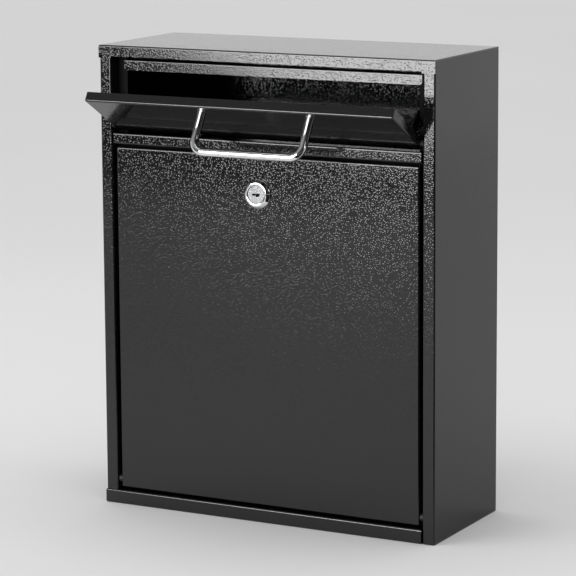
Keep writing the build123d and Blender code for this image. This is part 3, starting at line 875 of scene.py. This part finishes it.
@dataclass
class Door(SubAssembly):
    """Drop-down door with the housing of its lock. Sizes in millimetres."""

    body: Body = Body.DOOR
    axis: LockAxis = LockAxis()
    columns: int = 120
    body_radius: float = 9.5
    flat_half: float = 8.0
    thread_pitch: float = 1.0
    thread_depth: float = 0.5
    rows_per_turn: int = 6
    thread_start: float = -1.1
    housing_rear: float = -12.2
    bezel_rings: tuple[tuple[float, float], ...] = (
        (7.60, 3.35),
        (7.70, 3.46),
        (7.82, 3.50),
        (9.30, 3.50),
        (9.45, 3.46),
        (9.58, 3.37),
        (11.50, 1.22),
        (11.64, 1.04),
        (11.72, 0.85),
        (11.75, 0.65),
        (11.75, 0.12),
        (11.70, 0.00),
        (9.50, 0.00),
    )
    bore_rings: tuple[tuple[float, float], ...] = (
        (7.55, -12.2),
        (7.55, -10.15),
        (6.30, -10.15),
        (6.30, 0.0),
        (7.60, 0.0),
    )
    nut_levels: tuple[float, float] = (-1.0, -4.0)
    nut_half: float = 12.0
    nut_bore: float = 9.55
    nut_chamfer: float = 0.6
    nut_cone_angle: float = 60.0
    nut_steps: tuple[float, ...] = (0.0, 0.25, 0.5, 0.8, 1.1)

    def __post_init__(self) -> None:
        """Lists the finish of each door node."""
        self.finishes = {
            "door_panel": Slot.BLACK,
            "lock_housing": Slot.CHROME,
            "lock_nut": Slot.ZINC,
        }

    def ring(self, radius: float, level: float) -> list[Vector]:
        """Round ring about the lock's axis, its sides cut to the flats behind the door's face.

        Args:
            radius: Radius of the ring.
            level: Height above the door's face.

        Returns:
            Points of the ring, in metres.
        """
        points = []
        for column in range(self.columns):
            angle = 2 * math.pi * column / self.columns
            across = radius * math.cos(angle)
            if level < 0:
                across = max(-self.flat_half, min(self.flat_half, across))
            points.append(self.axis.place(across, radius * math.sin(angle), level))
        return points

    def thread_ring(self, level: float) -> list[Vector]:
        """Ring of the threaded body at one level, its ridge winding round the axis.

        Args:
            level: Height above the door's face.

        Returns:
            Points of the ring, in metres.
        """
        points = []
        for column in range(self.columns):
            turn = column / self.columns
            phase = (level / self.thread_pitch - turn) % 1.0
            radius = self.body_radius - self.thread_depth * abs(2 * phase - 1)
            angle = 2 * math.pi * turn
            across = max(-self.flat_half, min(self.flat_half, radius * math.cos(angle)))
            points.append(self.axis.place(across, radius * math.sin(angle), level))
        return points

    def housing(self) -> bpy.types.Object:
        """Builds the lock's housing: rounded bezel, threaded body with two flats and stepped bore.

        Returns:
            The housing.
        """
        rings = [self.ring(*bound) for bound in self.bezel_rings]
        rings.append(self.ring(self.body_radius - self.thread_depth, self.thread_start))
        step = self.thread_pitch / self.rows_per_turn
        rows = int((self.thread_start - self.housing_rear - 2 * step) / step)
        rings += [self.thread_ring(self.thread_start - (row + 1) * step) for row in range(rows)]
        rings.append(self.ring(self.body_radius - self.thread_depth, self.housing_rear))
        rings += [self.ring(*bound) for bound in self.bore_rings]
        return closed_tube("threaded_lock_housing", rings)

    def nut_ring(self, level: float) -> list[Vector]:
        """Hexagon of the nut at one level, its corners cut by the chamfer's cone near both faces.

        Args:
            level: Height above the door's face.

        Returns:
            Points of the ring, in metres.
        """
        depth = min(self.nut_levels[0] - level, level - self.nut_levels[1])
        cone = self.nut_half - self.nut_chamfer / 2 + depth * math.tan(math.radians(self.nut_cone_angle))
        points = []
        for column in range(self.columns):
            angle = 2 * math.pi * column / self.columns
            radius = min(cone, self.nut_half / math.cos(angle % (math.pi / 3) - math.pi / 6))
            points.append(self.axis.place(radius * math.cos(angle), radius * math.sin(angle), level))
        return points

    def bore_ring(self, radius: float, level: float) -> list[Vector]:
        """Round ring of the nut's hole.

        Args:
            radius: Radius of the ring.
            level: Height above the door's face.

        Returns:
            Points of the ring, in metres.
        """
        angles = [2 * math.pi * column / self.columns for column in range(self.columns)]
        return [self.axis.place(radius * math.cos(turn), radius * math.sin(turn), level) for turn in angles]

    def nut(self) -> bpy.types.Object:
        """Builds the hexagonal lock nut with chamfered corners and hole.

        Returns:
            The nut.
        """
        front, rear = self.nut_levels
        levels = [front - step for step in self.nut_steps]
        levels += [rear + step for step in reversed(self.nut_steps)]
        rings = [self.nut_ring(level) for level in levels]
        widened = self.nut_bore + self.nut_chamfer / 2
        chamfer = self.nut_chamfer / 2
        rings += [
            self.bore_ring(widened, rear),
            self.bore_ring(self.nut_bore, rear + chamfer),
            self.bore_ring(self.nut_bore, front - chamfer),
            self.bore_ring(widened, front),
        ]
        return closed_tube("chamfered_lock_nut", rings)

    def build(self, painter: Painter) -> None:
        """Builds the lock's threaded housing and its nut.

        Args:
            painter: Holder of the materials.
        """
        self.stand_in(self.housing(), "lock_housing", painter)
        self.stand_in(self.nut(), "lock_nut", painter)


@dataclass
class LockCore(SubAssembly):
    """Turning parts of the cam lock. Sizes in millimetres."""

    body: Body = Body.LOCK_CORE
    axis: LockAxis = LockAxis()
    wafer_half: float = 4.6
    spring_levels: tuple[float, ...] = (-2.4, -4.3, -6.2, -8.1)
    spring_length: float = 1.3
    spring_radius: float = 0.45
    spring_wire: float = 0.07
    spring_turns: float = 4.5

    def __post_init__(self) -> None:
        """Lists the finish of each node of the lock's core."""
        self.finishes = {
            "lock_plug": Slot.CHROME,
            "wafer_tumblers": Slot.BRASS,
            "tumbler_springs": Slot.ZINC,
            "lock_cam": Slot.ZINC,
            "cam_washer": Slot.ZINC,
            "cam_screw": Slot.ZINC,
        }

    def dress(self, nodes: dict[str, bpy.types.Object], painter: Painter) -> None:
        """Gives each CAD node its finish, the plug a chrome whose keyway is painted dark as painted shade.

        Args:
            nodes: CAD nodes by name.
            painter: Holder of the materials.
        """
        super().dress(nodes, painter)
        nodes["lock_plug"].data.materials[0] = PLUG_CHROME.material()

    def spring_tree(self) -> bpy.types.NodeTree:
        """Builds the node tree of a coil spring that stands across the lock.

        Returns:
            The tree.
        """
        sizes = ("Coil Radius", "Wire Radius", "Length", "Turns")
        tree, given = new_growth("coil springs", {size: "NodeSocketFloat" for size in sizes})
        size = given.outputs
        coil = add_node(
            tree,
            "GeometryNodeCurveSpiral",
            {"Resolution": 20},
            {
                "Rotations": size["Turns"],
                "Start Radius": size["Coil Radius"],
                "End Radius": size["Coil Radius"],
                "Height": size["Length"],
            },
        )
        section = add_node(
            tree, "GeometryNodeCurvePrimitiveCircle", {"Resolution": 8}, {"Radius": size["Wire Radius"]}
        )
        wire = add_node(
            tree,
            "GeometryNodeCurveToMesh",
            {"Fill Caps": True},
            {"Curve": coil.outputs["Curve"], "Profile Curve": section.outputs["Curve"]},
        )
        end_growth(tree, given, wire.outputs["Mesh"], (0.0, math.pi / 2, 0.0))
        return tree

    def build(self, painter: Painter) -> None:
        """Winds the springs of the wafer tumblers.

        Args:
            painter: Holder of the materials.
        """
        seats = [
            self.axis.place(self.wafer_half + self.spring_wire, 0.0, level) for level in self.spring_levels
        ]
        values = {
            "Coil Radius": (self.spring_radius - self.spring_wire) * MM,
            "Wire Radius": self.spring_wire * MM,
            "Length": (self.spring_length - 2 * self.spring_wire) * MM,
            "Turns": self.spring_turns,
            "Finish": painter.materials[Slot.ZINC],
        }
        piece = grow("coil_springs", self.spring_tree(), seats, values)
        self.stand_in(piece, "tumbler_springs", painter)


@dataclass(frozen=True)
class Lamp:
    """Soft lamp aimed at a point, sizes in metres. One for gloss is there for its reflection only."""

    name: str
    place: tuple[float, float, float]
    aim: tuple[float, float, float]
    width: float
    height: float
    radiance: float
    is_round: bool = False
    for_gloss: bool = False

    def build(self) -> bpy.types.Object:
        """Adds the lamp to the scene.

        Returns:
            The lamp's object.
        """
        light = bpy.data.lights.new(self.name, "AREA")
        light.shape = "ELLIPSE" if self.is_round else "RECTANGLE"
        light.size, light.size_y = self.width, self.height
        fill = math.pi / 4 if self.is_round else 1.0
        light.energy = self.radiance * self.width * self.height * fill * math.pi
        lamp = bpy.data.objects.new(self.name, light)
        lamp.visible_camera = False
        lamp.visible_diffuse = not self.for_gloss
        lamp.location = self.place
        lamp.rotation_euler = (Vector(self.aim) - Vector(self.place)).to_track_quat("-Z", "Y").to_euler()
        bpy.context.scene.collection.objects.link(lamp)
        return lamp


@dataclass(frozen=True)
class Card:
    """Felt card that only reflections see: it keeps stray light off a glossy face."""

    name: str
    corners: tuple[tuple[float, float, float], ...]
    left_colour: str
    right_colour: str
    nap_scale: float = 300.0
    nap_share: float = 0.1

    def build(self) -> bpy.types.Object:
        """Puts the card in its place, in metres, its colour graded from left to right.

        Returns:
            The card's object.
        """
        mesh = bpy.data.meshes.new(self.name)
        mesh.from_pydata(self.corners, [], [(0, 1, 2, 3)])
        card = bpy.data.objects.new(self.name, mesh)
        bpy.context.scene.collection.objects.link(card)
        card.visible_camera = card.visible_diffuse = card.visible_shadow = False
        # Wool felt: its loose nap swallows most light and never shines.
        material, tree = new_material(self.name)
        place = add_node(tree, "ShaderNodeTexCoord").outputs["Object"]
        nap = add_node(
            tree, "ShaderNodeTexNoise", {"Scale": self.nap_scale}, {"Vector": place}
        ).outputs["Fac"]
        across = add_node(tree, "ShaderNodeSeparateXYZ", links={0: place}).outputs["X"]
        ends = [corner[0] for corner in self.corners]
        graded = add_node(
            tree, "ShaderNodeMapRange", {"From Min": min(ends), "From Max": max(ends)}, {"Value": across}
        ).outputs["Result"]
        tone = add_node(
            tree, "ShaderNodeMath", {"operation": "MULTIPLY_ADD", 1: self.nap_share}, {0: nap, 2: graded}
        ).outputs["Value"]
        shader = add_node(
            tree,
            "ShaderNodeBsdfPrincipled",
            {"Roughness": 1.0, "Specular IOR Level": 0.0},
            {"Base Color": blend_colours(tree, tone, self.left_colour, self.right_colour)},
        )
        add_node(tree, "ShaderNodeOutputMaterial", links={"Surface": shader.outputs["BSDF"]})
        mesh.materials.append(material)
        return card


@dataclass(frozen=True)
class Studio:
    """Pale floor, even world light, soft lamps, cards and the camera."""

    floor_half: float = 14.0
    floor_low: str = "#dadada"
    floor_high: str = "#e2e2e2"
    floor_mottle: float = 1.2
    horizon_colour: str = "#dadada"
    room_left: str = "#989898"
    room_right: str = "#262626"
    backdrop_colour: str = "#eaeaea"
    backdrop_edge: float = 0.35
    room_edges: tuple[float, float] = (-0.4, 0.5)
    world_light: float = 0.79
    sun_strength: float = 0.46
    sun_spread: float = 30.0
    sun_from: tuple[float, float, float] = (-0.8, -0.8, 1.1)
    lens_mm: float = 173.23
    sensor_mm: float = 36.0
    camera_place: tuple[float, float, float] = (1.0401, -1.9553, 0.5937)
    yaw: float = 28.231
    pitch: float = 9.565
    roll: float = -0.373
    shift_up: float = -0.08
    view_reach: float = 100.0
    cards: tuple[Card, ...] = (
        Card(
            "black felt",
            ((0.5, -1.62, 0.0), (-2.8, -1.62, 0.0), (-2.8, -1.62, 1.3), (0.5, -1.62, 1.3)),
            "#1e1e1e",
            "#2a2a2a",
        ),
        Card(
            "grey felt",
            ((0.1505, -0.12, 0.0005), (1.15, -0.12, 0.0005), (1.15, 2.4, 0.0005), (0.1505, 2.4, 0.0005)),
            "#b6b6b6",
            "#cccccc",
        ),
        Card(
            "dark felt",
            ((0.2, -4.0, 0.002), (5.0, -4.0, 0.002), (5.0, -0.12, 0.002), (0.2, -0.12, 0.002)),
            "#1e1e1e",
            "#2a2a2a",
        ),
    )
    lamps: tuple[Lamp, ...] = (
        Lamp("front softbox", (-0.57, -1.60, 0.65), (-0.57, 0.0, 0.65), 1.36, 1.08, 11.0, True, True),
        Lamp("side softbox", (1.7, -0.5, 1.15), (0.0, 0.0, 0.3), 0.5, 0.8, 1.6, False, True),
        Lamp("overhead softbox", (0.0, -0.1, 1.7), (0.0, -0.1, 0.0), 1.5, 0.9, 1.5),
    )

    def floor(self) -> bpy.types.Object:
        """Lays the floor.

        Returns:
            The floor's object.
        """
        mesh = bpy.data.meshes.new("studio_floor")
        half = self.floor_half
        corners = [(-half, -half, 0.0), (half, -half, 0.0), (half, half, 0.0), (-half, half, 0.0)]
        mesh.from_pydata(corners, [], [(0, 1, 2, 3)])
        floor = bpy.data.objects.new("studio_floor", mesh)
        bpy.context.scene.collection.objects.link(floor)
        # Matt studio paper: even and pale, with no sheen.
        material, tree = new_material("studio paper")
        place = add_node(tree, "ShaderNodeTexCoord").outputs["Object"]
        mottle = add_node(
            tree, "ShaderNodeTexNoise", {"Scale": self.floor_mottle, "Detail": 1.0}, {"Vector": place}
        ).outputs["Fac"]
        shader = add_node(
            tree,
            "ShaderNodeBsdfPrincipled",
            {"Roughness": 0.9, "Specular IOR Level": 0.1},
            {"Base Color": blend_colours(tree, mottle, self.floor_low, self.floor_high)},
        )
        add_node(tree, "ShaderNodeOutputMaterial", links={"Surface": shader.outputs["BSDF"]})
        mesh.materials.append(material)
        return floor

    def world(self) -> None:
        """Sets an even world, pale to the camera, with a backdrop and a room in reflections."""
        world = bpy.data.worlds.new("studio")
        bpy.context.scene.world = world
        world.use_nodes = True
        tree = world.node_tree
        tree.nodes.clear()
        rays = add_node(tree, "ShaderNodeLightPath").outputs
        light = add_node(
            tree, "ShaderNodeBackground", {"Color": linear("#ffffff"), "Strength": self.world_light}
        ).outputs["Background"]
        # Reflections see the white backdrop behind the box, and in front a room that darkens to the right.
        towards = add_node(tree, "ShaderNodeTexCoord").outputs["Generated"]
        split = add_node(tree, "ShaderNodeSeparateXYZ", links={0: towards}).outputs
        behind = add_node(
            tree,
            "ShaderNodeMapRange",
            {"From Min": -self.backdrop_edge, "From Max": self.backdrop_edge},
            {"Value": split["Y"]},
        ).outputs["Result"]
        sideways = add_node(
            tree,
            "ShaderNodeMapRange",
            {"From Min": self.room_edges[0], "From Max": self.room_edges[1]},
            {"Value": split["X"]},
        ).outputs["Result"]
        room = add_node(
            tree,
            "ShaderNodeMix",
            {"data_type": "RGBA", 7: linear(self.backdrop_colour)},
            {0: behind, 6: blend_colours(tree, sideways, self.room_left, self.room_right)},
        )
        studio = add_node(tree, "ShaderNodeBackground", {"Strength": 1.0}, {"Color": room.outputs[2]})
        horizon = add_node(
            tree, "ShaderNodeBackground", {"Color": linear(self.horizon_colour), "Strength": 1.0}
        ).outputs["Background"]
        mixed = add_node(
            tree,
            "ShaderNodeMixShader",
            links={0: rays["Is Glossy Ray"], 1: light, 2: studio.outputs["Background"]},
        )
        mixed = add_node(
            tree,
            "ShaderNodeMixShader",
            links={0: rays["Is Camera Ray"], 1: mixed.outputs["Shader"], 2: horizon},
        )
        add_node(tree, "ShaderNodeOutputWorld", links={"Surface": mixed.outputs["Shader"]})

    def sun(self) -> bpy.types.Object:
        """Adds the broad key light that throws the shadow to the right.

        Returns:
            The key light's object.
        """
        light = bpy.data.lights.new("key", "SUN")
        light.energy = self.sun_strength
        light.angle = math.radians(self.sun_spread)
        key = bpy.data.objects.new("key", light)
        key.visible_glossy = False
        key.rotation_euler = (-Vector(self.sun_from)).to_track_quat("-Z", "Y").to_euler()
        bpy.context.scene.collection.objects.link(key)
        return key

    def camera(self) -> bpy.types.Object:
        """Places the camera at the viewing angle, level but for a slight roll.

        Returns:
            The camera's object.
        """
        yaw, pitch, roll = (math.radians(angle) for angle in (self.yaw, self.pitch, self.roll))
        forward = Vector(
            (-math.sin(yaw) * math.cos(pitch), math.cos(yaw) * math.cos(pitch), -math.sin(pitch))
        )
        level = Vector((math.cos(yaw), math.sin(yaw), 0.0))
        upright = level.cross(forward)
        right = math.cos(roll) * level + math.sin(roll) * upright
        above = -math.sin(roll) * level + math.cos(roll) * upright
        data = bpy.data.cameras.new("camera")
        data.lens, data.sensor_width = self.lens_mm, self.sensor_mm
        data.shift_y = self.shift_up
        data.clip_end = self.view_reach
        camera = bpy.data.objects.new("camera", data)
        turn = Matrix((right, above, -forward)).transposed().to_4x4()
        camera.matrix_world = Matrix.Translation(self.camera_place) @ turn
        bpy.context.scene.collection.objects.link(camera)
        bpy.context.scene.camera = camera
        return camera

    def build(self) -> None:
        """Sets up floor, world, cards, lamps, key and camera."""
        self.floor()
        self.world()
        for card in self.cards:
            card.build()
        for lamp in self.lamps:
            lamp.build()
            LOG.info("lamp: %s", lamp.name)
        self.sun()
        self.camera()
        bpy.context.scene.view_settings.view_transform = "Standard"


def main() -> None:
    """Loads the frame, dresses every sub-assembly and sets up the studio."""
    logging.basicConfig(level=logging.INFO, format="%(message)s")
    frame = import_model()
    painter = Painter.mix()
    casing, flap, door, core = Casing(), SlotFlap(), Door(), LockCore()
    for group in (casing, flap, door, core):
        group.dress(frame["nodes"], painter)
    for group in (flap, door, core):
        group.build(painter)
    Studio().build()


if __name__ == "__main__":
    main()
